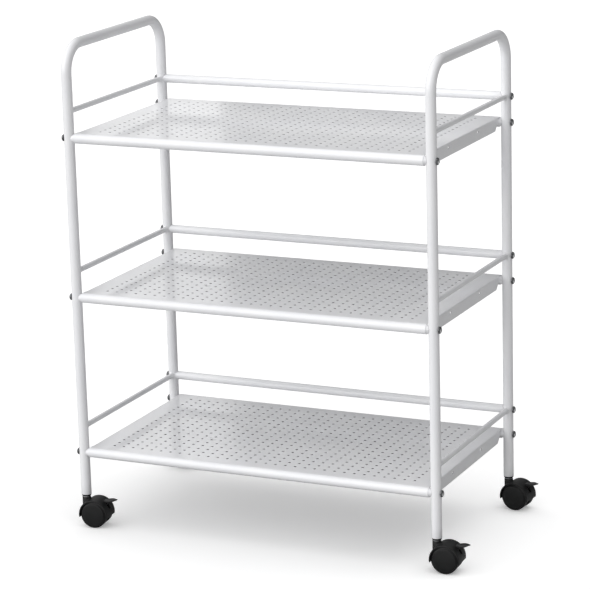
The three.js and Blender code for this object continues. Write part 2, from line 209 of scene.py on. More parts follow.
# ---- materials --------------------------------------------------------------------------------
class Nodes:
    def __init__(self, name):
        self.material = bpy.data.materials.new(name)
        self.material.use_nodes = True
        self.tree = self.material.node_tree
        self.tree.nodes.clear()
        self.out = self.new("ShaderNodeOutputMaterial")
        self.shader = self.new("ShaderNodeBsdfPrincipled")
        self.link(self.shader, "BSDF", self.out, "Surface")

    def new(self, kind, **values):
        node = self.tree.nodes.new(kind)
        for key, value in values.items():
            setattr(node, key, value)
        return node

    def link(self, a, out, b, into):
        self.tree.links.new(a.outputs[out], b.inputs[into])

    def set(self, **values):
        for key, value in values.items():
            self.shader.inputs[key.replace("_", " ")].default_value = value

    def coordinates(self, spread=0.0):
        """Object coordinates, moved by an amount of each object's own."""
        where = self.new("ShaderNodeTexCoord")
        if not spread:
            return where, "Object"
        info = self.new("ShaderNodeObjectInfo")
        scale = self.new("ShaderNodeMath", operation="MULTIPLY")
        scale.inputs[1].default_value = spread
        add = self.new("ShaderNodeVectorMath", operation="ADD")
        self.link(info, "Random", scale, 0)
        self.link(where, "Object", add, 0)
        self.link(scale, 0, add, 1)
        return add, "Vector"

    def noise(self, place, scale, detail=2.0, rough=0.5):
        node = self.new("ShaderNodeTexNoise")
        node.inputs["Scale"].default_value = scale
        node.inputs["Detail"].default_value = detail
        node.inputs["Roughness"].default_value = rough
        self.link(place[0], place[1], node, "Vector")
        return node

    def ranged(self, source, out, low, high, to_low, to_high):
        node = self.new("ShaderNodeMapRange")
        for key, value in (("From Min", low), ("From Max", high), ("To Min", to_low), ("To Max", to_high)):
            node.inputs[key].default_value = value
        self.link(source, out, node, "Value")
        return node

    def blend(self, factor, out, a, b):
        """A mix of two colours, or of a colour socket and a colour, by a factor."""
        node = self.new("ShaderNodeMix", data_type="RGBA")
        self.link(factor, out, node, 0)
        for index, value in ((6, a), (7, b)):
            if isinstance(value, tuple) and hasattr(value[0], "outputs"):
                self.tree.links.new(value[0].outputs[value[1]], node.inputs[index])
            else:
                node.inputs[index].default_value = (*value, 1)
        return node, 2

    def edges(self, radius):
        """About 0 on open faces and towards 1 along edges."""
        bevel = self.new("ShaderNodeBevel", samples=4)
        bevel.inputs["Radius"].default_value = radius
        geometry = self.new("ShaderNodeNewGeometry")
        dot = self.new("ShaderNodeVectorMath", operation="DOT_PRODUCT")
        self.link(bevel, "Normal", dot, 0)
        self.link(geometry, "Normal", dot, 1)
        return self.ranged(dot, "Value", 0.995, 0.8, 0.0, 1.0)

    def bump(self, heights, distance):
        """Bumps one after another from (node, output, strength) heights."""
        last = None
        for node, out, strength in heights:
            bump = self.new("ShaderNodeBump")
            bump.inputs["Strength"].default_value = strength
            bump.inputs["Distance"].default_value = distance
            self.link(node, out, bump, "Height")
            if last:
                self.link(last, "Normal", bump, "Normal")
            last = bump
        self.link(last, "Normal", self.shader, "Normal")
        return last


def powder_coat():
    """Glossy white powder coat with orange peel, thinner and duller along edges."""
    m = Nodes("white_powder_coat")
    place = m.coordinates()
    cloud = m.noise(place, 9.0, 3.0)
    speck = m.noise(place, 900.0, 2.0)
    peel = m.noise(place, 420.0, 3.0, 0.45)
    wave = m.noise(place, 38.0, 1.0)
    edge = m.edges(0.0012)
    base = m.blend(m.ranged(cloud, 0, 0.35, 0.65, 0.0, 1.0), 0, (0.752, 0.756, 0.778), (0.785, 0.787, 0.80))
    grain = m.blend(m.ranged(speck, 0, 0.62, 0.78, 0.0, 0.35), 0, base, (0.69, 0.69, 0.71))
    worn = m.blend(m.ranged(edge, 0, 0.1, 1.0, 0.0, 0.3), 0, grain, (0.62, 0.62, 0.625))
    m.link(worn[0], worn[1], m.shader, "Base Color")
    rough = m.ranged(cloud, 0, 0.3, 0.7, 0.27, 0.37)
    m.link(rough, 0, m.shader, "Roughness")
    m.set(Coat_Weight=0.35, Coat_Roughness=0.12, Specular_IOR_Level=0.5)
    m.bump([(wave, 0, 0.35), (peel, 0, 0.22)], 0.0004)
    return m.material


def moulded(name, colour, high, worn, rough, grain_scale, tread=False):
    """Dark moulded plastic with fine grain, greyer along edges and, on a wheel, where it rolls."""
    m = Nodes(name)
    place = m.coordinates(3.0)
    cloud = m.noise(place, 60.0, 4.0)
    grain = m.noise(place, grain_scale, 2.0)
    edge = m.edges(0.0009)
    base = m.blend(m.ranged(cloud, 0, 0.35, 0.7, 0.0, 1.0), 0, colour, high)
    top = m.blend(m.ranged(edge, 0, 0.05, 1.0, 0.0, 0.55), 0, base, worn)
    dull = m.ranged(cloud, 0, 0.3, 0.7, rough, rough + 0.12)
    if tread:
        where = m.new("ShaderNodeTexCoord")
        split = m.new("ShaderNodeSeparateXYZ")
        m.link(where, "Object", split, 0)
        flat = m.new("ShaderNodeCombineXYZ")
        m.link(split, "X", flat, 0)
        m.link(split, "Z", flat, 1)
        length = m.new("ShaderNodeVectorMath", operation="LENGTH")
        m.link(flat, 0, length, 0)
        mask = m.ranged(length, "Value", (WHEEL_R - 0.8) * MM, (WHEEL_R - 0.1) * MM, 0.0, 1.0)
        scuff = m.noise(place, 700.0, 3.0, 0.7)
        broken = m.new("ShaderNodeMath", operation="MULTIPLY")
        m.link(mask, 0, broken, 0)
        m.link(m.ranged(scuff, 0, 0.35, 0.65, 0.35, 1.0), 0, broken, 1)
        top = m.blend(broken, 0, top, (0.042, 0.042, 0.043))
        roughened = m.new("ShaderNodeMath", operation="MULTIPLY_ADD")
        m.link(broken, 0, roughened, 0)
        roughened.inputs[1].default_value = 0.25
        m.link(dull, 0, roughened, 2)
        dull = roughened
    m.link(top[0], top[1], m.shader, "Base Color")
    m.link(dull, 0, m.shader, "Roughness")
    m.set(Specular_IOR_Level=0.3)
    m.bump([(cloud, 0, 0.15), (grain, 0, 0.3)], 0.00025)
    return m.material


def metal(name, dark, light, rough, rings=0.0, crown_highlight=False):
    """Plated steel with dull patches, and turning marks about X where `rings` gives their scale."""
    m = Nodes(name)
    place = m.coordinates(5.0)
    cloud = m.noise(place, 260.0, 4.0)
    fine = m.noise(place, 2600.0, 2.0)
    edge = m.edges(0.0006)
    base = m.blend(m.ranged(cloud, 0, 0.35, 0.68, 0.0, 1.0), 0, dark, light)
    bright = m.blend(m.ranged(edge, 0, 0.1, 1.0, 0.0, 0.5), 0, base, tuple(min(1, c * 1.8) for c in light))
    if crown_highlight:
        # painted highlight: the top of a bolt's head is coloured bright where a highlight falls
        where = m.new("ShaderNodeTexCoord")
        split = m.new("ShaderNodeSeparateXYZ")
        m.link(where, "Object", split, 0)
        bright = m.blend(m.ranged(split, "X", 0.0031, 0.0041, 0.0, 0.85), 0, bright, (0.86, 0.87, 0.88))
    m.link(bright[0], bright[1], m.shader, "Base Color")
    m.set(Metallic=1.0)
    m.link(m.ranged(cloud, 0, 0.3, 0.7, rough, rough + 0.14), 0, m.shader, "Roughness")
    heights = [(fine, 0, 0.15)]
    if rings:
        where = m.new("ShaderNodeTexCoord")
        wave = m.new("ShaderNodeTexWave", wave_type="RINGS", rings_direction="X")
        wave.inputs["Scale"].default_value = rings
        wave.inputs["Distortion"].default_value = 0.6
        m.link(where, "Object", wave, "Vector")
        heights.append((wave, "Fac", 0.12))
    m.bump(heights, 0.0001)
    return m.material


white = powder_coat()
# painted shade: a near-black material on the hole walls stands in for the shade inside the sheet's holes
hole_shade_paint = moulded("bare_hole_edge", (0.022, 0.022, 0.024), (0.045, 0.045, 0.048), (0.09, 0.09, 0.095),
               0.55, 1800.0)
# painted highlight: the dark zinc is coloured bright on top of each bolt's head
zinc = metal("dark_zinc_plate", (0.1, 0.102, 0.107), (0.2, 0.202, 0.21), 0.16, 900.0, True)
steel = metal("bright_zinc_plate", (0.55, 0.56, 0.58), (0.74, 0.745, 0.75), 0.26)
nylon = moulded("black_moulded_nylon", (0.0055, 0.0056, 0.0058), (0.009, 0.0091, 0.0095),
                (0.022, 0.022, 0.023), 0.4, 1500.0)
lever_nylon = moulded("black_lever_nylon", (0.0095, 0.0096, 0.0099), (0.016, 0.016, 0.0165),
                      (0.05, 0.05, 0.051), 0.3, 1300.0)
wheel_nylon = moulded("black_wheel_nylon", (0.0028, 0.003, 0.0031), (0.005, 0.0053, 0.0055),
                      (0.02, 0.0205, 0.021), 0.33, 1700.0, tread=True)


# ---- side frames ------------------------------------------------------------------------------
def side_frame():
    """One bent tube with three rails welded across it, in the plane x = 0."""
    shape = Shape()
    angle = around(40)

    def ring(y, z, ty, tz, r):
        c, s = r * np.cos(angle), r * np.sin(angle)
        return np.stack([c, y - s * tz, z + s * ty], 1)

    # a leg's open end: up the inside, round the cut edge and onto the outside
    bore = TUBE_R - TUBE_WALL
    leg_end = [(95.0, bore), (LEG_BOTTOM + 0.5, bore), (LEG_BOTTOM + 0.12, bore + 0.2),
               (LEG_BOTTOM, bore + 0.4), (LEG_BOTTOM, TUBE_R - 0.45), (LEG_BOTTOM + 0.12, TUBE_R - 0.15),
               (LEG_BOTTOM + 0.5, TUBE_R)]
    bend_z = HANDLE_AXIS - BEND_R
    bend_y = LEG_Y - BEND_R
    leg = np.linspace(LEG_BOTTOM + 20, bend_z - 2, 24)
    rings = [ring(-LEG_Y, z, 0, 1, r) for z, r in leg_end]
    rings += [ring(-LEG_Y, z, 0, 1, TUBE_R) for z in leg]
    for side, start in ((-1, 0), (1, math.pi / 2)):
        for turn in start + np.linspace(0, math.pi / 2, 23):
            y, z = side * bend_y - BEND_R * math.cos(turn), bend_z + BEND_R * math.sin(turn)
            rings.append(ring(y, z, math.sin(turn), math.cos(turn), TUBE_R))
        if side < 0:
            rings += [ring(y, HANDLE_AXIS, 1, 0, TUBE_R) for y in np.linspace(8 - bend_y, bend_y - 8, 9)]
    rings += [ring(LEG_Y, z, 0, -1, TUBE_R) for z in reversed(leg)]
    rings += [ring(LEG_Y, z, 0, -1, r) for z, r in reversed(leg_end)]
    shape.loft(rings)

    # a rail's rings about Y, its ends flaring into the weld bead on each leg
    weld = [(7.0, -0.5), (6.9, 0.25), (6.45, 0.95), (5.85, 1.5), (5.3, 2.1), (5.06, 3.0), (RAIL_R, 4.2)]
    turn = around(28)
    for height in SHELVES.values():
        z0 = height + RAIL_RISE
        near = []
        for r, rise in weld:
            bead = r + (0.16 * np.sin(5 * turn + r) if r > RAIL_R + 0.2 else 0)
            x, z = bead * np.cos(turn), bead * np.sin(turn)
            near.append(np.stack([x, -LEG_Y + np.sqrt(TUBE_R**2 - x * x) + rise, z0 + z], 1))
        middle = [np.stack([RAIL_R * np.cos(turn), 0 * turn + y, z0 + RAIL_R * np.sin(turn)], 1)
                  for y in np.linspace(-160, 160, 9)]
        far = [row * np.array([1, -1, 1]) for row in reversed(near)]
        shape.loft(near + middle + far)
    return shape.mesh("side_frame", sharp=50)


frame_mesh = side_frame()
for side, x in (("left", -LEG_X), ("right", LEG_X)):
    put(f"{side}_frame_tube", frame_mesh, "cart", f"{side}_side_frame", white, (x, 0, 0))


# ---- cross tubes ------------------------------------------------------------------------------
def cross_tube():
    """A tube along X with its ends cut to the legs and the inserts' faces inside them."""
    shape = Shape()
    turn = around(36)

    def coped(r, back):
        y, z = r * np.cos(turn), r * np.sin(turn)
        x = LEG_X - np.sqrt((TUBE_R + GAP) ** 2 - y * y) - back
        return np.stack([x, y, z], 1)

    # from inside the thread, over the insert's face and the tube's cut edge, to the outside
    end = [coped(3.3, 12), coped(3.3, 1.2), coped(3.8, 0.7), coped(6.9, 0.7), coped(7.1, 0.25),
           coped(7.5, 0.0), coped(7.85, 0.1), coped(CROSS_R, 0.45)]
    middle = [np.stack([0 * turn + x, CROSS_R * np.cos(turn), CROSS_R * np.sin(turn)], 1)
              for x in np.linspace(320, -320, 17)]
    other = [e * np.array([-1, 1, 1]) for e in reversed(end)]
    shape.loft(end + middle + other, caps=(True, True))
    return shape.mesh("cross_tube", sharp=50)


# piece, CAD node, place along Y and height over the shelf's tube axes
CROSS_TUBES = (("front_tube", "shelf_front_tube", -LEG_Y, 0), ("rear_tube", "shelf_rear_tube", LEG_Y, 0),
               ("rail", "back_rail", LEG_Y, RAIL_RISE))
tube_mesh = cross_tube()
for name, z in SHELVES.items():
    for piece, node, y, rise in CROSS_TUBES:
        put(f"{name}_{piece}", tube_mesh, "cart", f"{name}_{node}", white, (0, y, z + rise))


# ---- shelf sheets -----------------------------------------------------------------------------
def holed_cell(shape, u0, u1, v0, v1, radii, place, n=12):
    """A cell of a flat region with a round hole in its middle. `radii` holds its radius at each depth."""
    per = n // 4
    corners = ((u0, v0), (u1, v0), (u1, v1), (u0, v1))
    outer = []
    for (ua, va), (ub, vb) in zip(corners, corners[1:] + corners[:1]):
        outer += [(ua + (ub - ua) * k / per, va + (vb - va) * k / per) for k in range(per)]
    cu, cv = (u0 + u1) / 2, (v0 + v1) / 2
    start = math.atan2(v0 - cv, u0 - cu)
    rings = [[place(*p, 0) for p in outer]]
    for r, depth in radii:
        angles = [start + 2 * math.pi * k / n for k in range(n)]
        rings.append([place(cu + r * math.cos(a), cv + r * math.sin(a), depth) for a in angles])
    shape.loft(rings)


def thickened(surface):
    """The mesh that a sheet's outer surface gives when it has the sheet's thickness and soft edges."""
    work = bpy.data.objects.new("sheet_work", surface)
    bpy.context.scene.collection.objects.link(work)
    middle = min(surface.polygons, key=lambda p: (p.center - Vector((0, 0, ROLL_R * MM))).length)
    if middle.normal.z < 0:
        surface.flip_normals()
    thick = work.modifiers.new("thick", "SOLIDIFY")
    thick.thickness = SHEET * MM
    thick.offset = -1
    thick.use_even_offset = True
    soft = work.modifiers.new("soft", "BEVEL")
    soft.width = 0.25 * MM
    soft.segments = 2
    soft.limit_method = "ANGLE"
    soft.angle_limit = math.radians(50)
    soft.use_clamp_overlap = True
    even = work.modifiers.new("even", "WEIGHTED_NORMAL")
    even.keep_sharp = False
    even.weight = 80
    evaluated = work.evaluated_get(bpy.context.evaluated_depsgraph_get())
    result = bpy.data.meshes.new_from_object(evaluated)
    bpy.data.objects.remove(work)
    bpy.data.meshes.remove(surface)
    return result


def in_shaded_hole(face):
    """Whether a face of the sheet lies in a hole, below the lip, on the wall that is coloured dark as
    painted shade.
    """
    near = 0.1
    x, y, z = (c / MM for c in face.center)
    from_x = ((x / PITCH_X + COLUMNS / 2) % 1 - 0.5) * PITCH_X
    from_y = ((y / PITCH_Y + ROWS / 2) % 1 - 0.5) * PITCH_Y
    in_field = abs(x) < COLUMNS / 2 * PITCH_X and abs(y) < ROWS / 2 * PITCH_Y
    if in_field and math.hypot(from_x, from_y) < HOLE_R - near:
        in_hole = z < ROLL_R - HOLE_LIP
        across = abs(face.normal.z)
    else:
        from_hole = math.hypot(abs(y) - FLANGE_HOLE_Y, z - FLANGE_HOLE_Z)
        in_hole = abs(x) > SHEET_X - SHEET - near and from_hole < FLANGE_HOLE_R + near
        across = abs(face.normal.x)
    return in_hole and across < 0.4


def shelf_sheet():
    """A perforated deck rolled at the front and rear, with flanges turned down at its sides."""
    shape = Shape()
    top = ROLL_R

    def deck(u, v, depth):
        return u, v, top - depth

    drawn = [(HOLE_R, 0), (HOLE_R - HOLE_LIP, HOLE_LIP), (HOLE_R - HOLE_LIP, HOLE_DEPTH)]
    xs = [(i - COLUMNS / 2) * PITCH_X for i in range(COLUMNS + 1)]
    ys = [(j - ROWS / 2) * PITCH_Y for j in range(ROWS + 1)]
    for x0, x1 in zip(xs, xs[1:]):
        for y0, y1 in zip(ys, ys[1:]):
            holed_cell(shape, x0, x1, y0, y1, drawn, deck)

    # the plain margin: one flat face a side from the holes out to an inner frame of simpler lines
    def refined(values):
        out = []
        for a, b in zip(values, values[1:]):
            out += [a + (b - a) * k / 3 for k in range(3)]
        return out + [values[-1]]

    in_x, in_y = 331.0, 177.0
    cell_y, cell_z = 9, 4.2  # half the size of the cell round a flange hole
    hole_near, hole_far = FLANGE_HOLE_Y - cell_y, FLANGE_HOLE_Y + cell_y
    corner = [FLANGE_Y - FLANGE_CORNER * t for t in (1.0, 0.93, 0.8, 0.6, 0.4, 0.2, 0.07, 0.0)]
    half = [0, 20, 42, hole_near, hole_far, 110, 135] + corner
    lines_y = sorted(set([-v for v in half] + half))
    lines_x = [-in_x] + list(np.linspace(-300, 300, 13)) + [in_x]
    for s in (-1, 1):
        inner = [(s * xs[-1], y, top) for y in refined(ys)]
        outer = [(s * in_x, y, top) for y in [-in_y] + lines_y + [in_y]]
        ids = shape.add(inner + outer[::-1])
        shape.faces.append(tuple(ids if s > 0 else ids[::-1]))
        inner = [(x, s * ys[-1], top) for x in refined(xs)]
        outer = [(x, s * in_y, top) for x in lines_x]
        ids = shape.add(inner + outer[::-1])
        shape.faces.append(tuple(ids[::-1] if s > 0 else ids))

    # side edges: a small bend, then the flange, whose lower corners are cut
    flat_x = SHEET_X - SHEET_BEND
    before_x = flat_x - 0.6
    start = top - SHEET_BEND
    full = start - FLANGE_LOW
    cut = start - FLANGE_HOLE_Z  # depth of the hole's middle below the bend
    levels = [0, 0.4, cut - cell_z, cut + cell_z, full - 3, full]
    for s in (-1, 1):
        edge = [[(s * in_x, y, top) for y in lines_y], [(s * before_x, y, top) for y in lines_y]]
        edge += [[(s * (flat_x + SHEET_BEND * math.sin(a)), y, start + SHEET_BEND * math.cos(a))
                  for y in lines_y] for a in np.linspace(0, math.pi / 2, 7)]
        shape.loft(edge, ring_closed=False)

        def low(y):
            into = max(0.0, abs(y) - (FLANGE_Y - FLANGE_CORNER)) / FLANGE_CORNER
            # a straight cut with both of its ends eased
            ease = into - 0.045 * math.sin(2 * math.pi * into)
            return FLANGE_LOW + FLANGE_CORNER * ease

        def wall(y, v, depth=0):
            return s * SHEET_X, y, start - (start - low(y)) * v / full

        for y0, y1 in zip(lines_y, lines_y[1:]):
            for v0, v1 in zip(levels, levels[1:]):
                hole_column = abs(abs(y0 + y1) / 2 - FLANGE_HOLE_Y) < 1
                hole_row = v0 < cut < v1
                if hole_column and hole_row:
                    holed_cell(shape, y0, y1, v0, v1, [(FLANGE_HOLE_R, 0)], wall, n=16)
                elif hole_column:
                    # rows above and below a hole share its cell's points
                    us = [y0 + (y1 - y0) * k / 4 for k in range(5)]
                    shape.loft([[wall(u, v0) for u in us], [wall(u, v1) for u in us]], ring_closed=False)
                else:
                    vs = [v0, v1]
                    beside = any(abs(abs(y) - h) < 0.01 for y in (y0, y1) for h in (hole_near, hole_far))
                    if hole_row and beside:
                        vs = [v0 + (v1 - v0) * k / 4 for k in range(5)]
                    shape.loft([[wall(y0, v), wall(y1, v)] for v in vs], ring_closed=False)

        # beyond the flange the deck runs out flat to the sheet's end
        for t in (-1, 1):
            for y0, y1 in ((FLANGE_Y, in_y), (in_y, LEG_Y)):
                shape.loft([[(s * x, t * y0, top), (s * x, t * y1, top)]
                            for x in (in_x, before_x, flat_x, SHEET_X)], ring_closed=False)

    # front and rear rolls round the tubes
    xs_roll = [-SHEET_X, -flat_x, -before_x] + lines_x + [before_x, flat_x, SHEET_X]
    turns = np.linspace(math.pi / 2, ROLL_END, 38)
    for t in (-1, 1):
        shape.loft([[(x, t * (LEG_Y - ROLL_R * math.cos(a)), ROLL_R * math.sin(a)) for x in xs_roll]
                    for a in turns], ring_closed=False)
        shape.loft([[(x, t * y, top) for x in lines_x] for y in (in_y, LEG_Y)], ring_closed=False)

    result = thickened(shape.mesh("sheet_surface", weld=0.01))
    result.name = "shelf_sheet"
    result.materials.append(white)
    # painted shade: the second material darkens each hole's wall where shade falls inside it
    result.materials.append(hole_shade_paint)
    for face in result.polygons:
        if in_shaded_hole(face):
            face.material_index = 1
    return result


sheet_mesh = shelf_sheet()
for name, z in SHELVES.items():
    node = f"{name}_shelf_sheet"
    put(f"{name}_perforated_shelf", sheet_mesh, "cart", node, white, (0, 0, z))


# ---- bolts ------------------------------------------------------------------------------------
def bolt():
    """Button head with a hexagon socket, pointing to +X from its seat at x = 0."""
    shape = Shape()
    turn = around(48)
    profile = [(2.4, -32.0), (3.0, -31.4), (3.0, -0.1), (3.1, 0.0), (6.1, 0.0), (6.4, 0.15), (6.5, 0.45),
               (6.5, 1.1)]
    dome = [(math.cos(a), math.sin(a)) for a in np.linspace(0.12, 1.1, 9)]
    low, high = dome[0], dome[-1]
    for c, s in dome:
        t = (s - low[1]) / (high[1] - low[1])
        profile.append((6.45 * c / low[0], 1.25 + 3.15 * t))
    profile += [(2.75, 4.48), (2.62, 4.44)]
    rings = [np.stack([0 * turn + h, r * np.cos(turn), r * np.sin(turn)], 1) for r, h in profile]
    flats = np.mod(turn + math.pi / 6, math.pi / 3) - math.pi / 6
    for across, h in ((4.25, 4.3), (4.0, 4.1), (4.0, 2.2), (3.6, 2.0)):
        r = across / 2 / np.cos(flats)
        rings.append(np.stack([0 * turn + h, r * np.cos(turn), r * np.sin(turn)], 1))
    rings.append(np.stack([0 * turn + 1.7, 0.3 * np.cos(turn), 0.3 * np.sin(turn)], 1))
    shape.loft(rings, caps=(True, True))
    return shape.mesh("button_bolt", sharp=35)


# where each shelf's bolts go: name, place along Y and height over the shelf's tube axes
BOLTS = (("front_tube", -LEG_Y, 0), ("rear_tube", LEG_Y, 0), ("back_rail", LEG_Y, RAIL_RISE))
bolt_mesh = bolt()
for name, z in SHELVES.items():
    for which, y, rise in BOLTS:
        for side, x, turned in (("right", BOLT_SEAT, 0.0), ("left", -BOLT_SEAT, math.pi)):
            put(f"{name}_{which}_button_{side}", bolt_mesh, "cart", f"{name}_{which}_bolt_{side}",
                zinc, (x, y, z + rise), turned)


# ---- casters ----------------------------------------------------------------------------------
def leg_plug():
    shape = Shape()
    flange = [(4.3, 57.2), (7.6, 57.2), (8.0, 57.35), (8.35, 57.75), (9.05, 59.3), (9.3, 59.95),
              (9.28, 60.1), (9.1, 60.2), (8.0, 60.2)]
    barrel = [(8.0, 62.0), (7.85, 62.3), (7.85, 66), (8.0, 66.3), (8.0, 70), (7.85, 70.3), (7.6, 91.6),
              (7.1, 92.2), (4.3, 92.2)]
    shape.turned(flange + barrel, "z", 48, closed=True)
    return shape.mesh("leg_plug", sharp=38)


def stem():
    shape = Shape()
    collar = [(4.0, 55.7), (6.7, 55.7), (7.0, 55.85), (7.0, 56.75), (6.7, 56.9), (4.0, 56.9)]
    groove = [(4.0, 83.0), (3.7, 83.5), (3.7, 85.5), (4.0, 86.0)]
    rows = shape.turned([(3.5, 34.0), (4.0, 34.5)] + collar + groove + [(4.0, 89.2), (3.2, 90.0)], "z", 40)
    shape.faces += [tuple(reversed(rows[0])), tuple(rows[-1])]
    return shape.mesh("caster_stem", sharp=38)


def axle_pin():
    shape = Shape()
    rows = shape.turned([(2.5, -15.5), (2.9, -15.1), (2.9, 15.1), (2.5, 15.5)], "y", 32)
    shape.faces += [tuple(reversed(rows[0])), tuple(rows[-1])]
    return shape.mesh("caster_axle", sharp=38)


def hood():
    """Hood over both wheels, web between them and neck round the stem, in the caster's own frame."""
    shape = Shape()
    low = math.asin((HOOD_LOW - WHEEL_R) / HOOD_R)
    half = HOOD_HALF
    e = 1.1  # radius of the hood's outer edges
    section = [(HOOD_R, -half + e)]
    section += [(HOOD_R, y) for y in np.linspace(-half + e + 1, half - e - 1, 9)]
    section += [(HOOD_R, half - e)]
    section += arc(e, 0.3, math.pi / 2, 5, HOOD_R - e, half - e)
    section += [(HOOD_IN + 0.35, half), (HOOD_IN, half - 0.35), (HOOD_IN, WEB_HALF)]
    section += [(HOOD_IN, -WEB_HALF), (HOOD_IN, -half + 0.35), (HOOD_IN + 0.35, -half)]
    section += arc(e, -math.pi / 2, -0.3, 5, HOOD_R - e, e - half)

    # the lever's slot opens the hood between the wheels, so it is swept in two parts there
    def sweep(start, stop, points, count, close=(True, True)):
        rings = []
        for a in np.linspace(start, stop, count):
            ca, sa = math.cos(a), math.sin(a)
            rings.append([(TRAIL + r * ca, y, WHEEL_R + r * sa) for r, y in points])
        shape.loft(rings, caps=close)

    def tapered(start, stop):
        """The rim's free ends, where the section draws in to a rounded toe."""
        rings = []
        middle = (HOOD_R + HOOD_IN) / 2
        for t in np.linspace(0, 1, 6):
            a = start + (stop - start) * t
            w = math.sqrt(max(0.0, 1 - (0.86 * t) ** 2))
            ca, sa = math.cos(a), math.sin(a)
            rings.append([(TRAIL + (middle + (r - middle) * w) * ca, y * (0.985 + 0.015 * w),
                           WHEEL_R + (middle + (r - middle) * w) * sa) for r, y in section])
        shape.loft(rings, caps=(False, True))

    slot_low, slot_high = math.asin(8.8 / HOOD_R), math.asin(18.6 / HOOD_R)
    toe = math.radians(3.2)
    lip = 0.25
    sweep(low + toe, slot_low, section, 8, (False, True))
    tapered(low + toe, low)
    right = [(HOOD_IN, SLOT_HALF), (HOOD_R - lip, SLOT_HALF), (HOOD_R, SLOT_HALF + lip)]
    right += [(r, y) for r, y in section if y > SLOT_HALF + 0.5]
    left = [(r, -y) for r, y in reversed(right)]
    for side in (left, right):
        sweep(slot_low, slot_high, side, 12)
    sweep(slot_high, math.pi - low - toe, section, 60, (True, False))
    tapered(math.pi - low - toe, math.pi - low)

    # web: the upper half disc under the hood and a round boss at the axle
    upper = arc(WEB_R, slot_high, math.pi + math.asin(5.0 / WEB_R), 40, TRAIL, WHEEL_R)
    upper = [(x, z) for x, z in upper if z >= HOOD_LOW]
    lower = [(-6.6, HOOD_LOW), (TRAIL - 13.1, HOOD_LOW)]
    lower += arc(BOSS_R, math.radians(201), math.radians(339), 18, TRAIL, WHEEL_R)
    lower += [(TRAIL + 13.1, HOOD_LOW), (TRAIL + 25.6, HOOD_LOW), (TRAIL + 25.9, 25.0), (TRAIL + 24.6, 33.6),
              (34.8, 33.6), (30.4, 35.5), (28.8, 42.0), (34.0, 46.0)]
    slab(shape, upper + lower, WEB_HALF, 0.5)

    # neck round the stem, easing out onto the hood
    turn = around(48)
    c, s = np.cos(turn), np.sin(turn)

    def on_hood(x):
        return WHEEL_R + np.sqrt(np.maximum(HOOD_R**2 - (x - TRAIL) ** 2, 0.0))

    rings = []
    for r, h in ((STEM_BORE, 40.0), (STEM_BORE, NECK_TOP - 0.4), (STEM_BORE + 0.3, NECK_TOP),
                 (NECK_R - 0.7, NECK_TOP), (NECK_R - 0.25, NECK_TOP - 0.15), (NECK_R, NECK_TOP - 0.6)):
        rings.append(np.stack([r * c, r * s, 0 * turn + h], 1))
    side = np.clip(c + 0.75, 0, 1)
    reach = 0.35 + 2.3 * side * side * (3 - 2 * side)
    for t in (1.0, 0.8, 0.55, 0.32, 0.14, 0.03, -0.05):
        spread = NECK_R + reach * (1 - math.sqrt(max(0.0, 1 - (1 - max(t, 0)) ** 2)))
        x, y = spread * c, spread * s
        z = on_hood(x) + reach * t * 1.1 - (0.4 if t < 0 else 0)
        z = np.where(x < -7.9, np.maximum(z, 30.0), z)
        rings.append(np.stack([x, y, np.minimum(z, 54.5)], 1))
    rings.append(np.stack([7.5 * c, 7.5 * s, np.maximum(on_hood(NECK_R * c) - 4, 29.0)], 1))
    shape.loft(rings, caps=(True, True))
    return shape.mesh("caster_hood", sharp=42)


def wheel():
    """A wheel about Y at the axle, its closed face pointing to +Y."""
    shape = Shape()
    r = WHEEL_R
    profile = [(3.2, 6.2), (8.0, 6.2), (8.5, 6.45), (8.9, 7.6), (9.4, 8.0), (19.6, 8.0), (20.2, 7.6),
               (20.7, 6.5), (21.2, 6.2), (r - 1.1, 6.2), (r - 0.4, 6.4), (r - 0.05, 6.9), (r, 7.5)]
    profile += [(r, 10.0), (r, 12.6), (r - 0.12, 12.8), (r - 0.12, 13.2), (r, 13.4), (r, 16.2),
                (r - 0.2, 16.7), (r - 0.6, 17.2), (r - 1.9, 17.6), (r - 2.5, 17.9), (r - 2.7, 18.5),
                (r - 2.75, 19.2), (r - 2.95, 19.6), (r - 3.3, 19.85), (r - 3.8, 20.0)]
    for q in np.linspace(r - 5, 0.6, 12):
        profile.append((q, 21.1 - 1.05 * (q / (r - 3.7)) ** 2))
    profile.append((0.0, 21.1))
    profile += [(0.0, 16.0), (3.2, 16.0), (3.2, 6.2)]
    shape.turned(profile, "y", 96)
    return shape.mesh("caster_wheel", sharp=38)


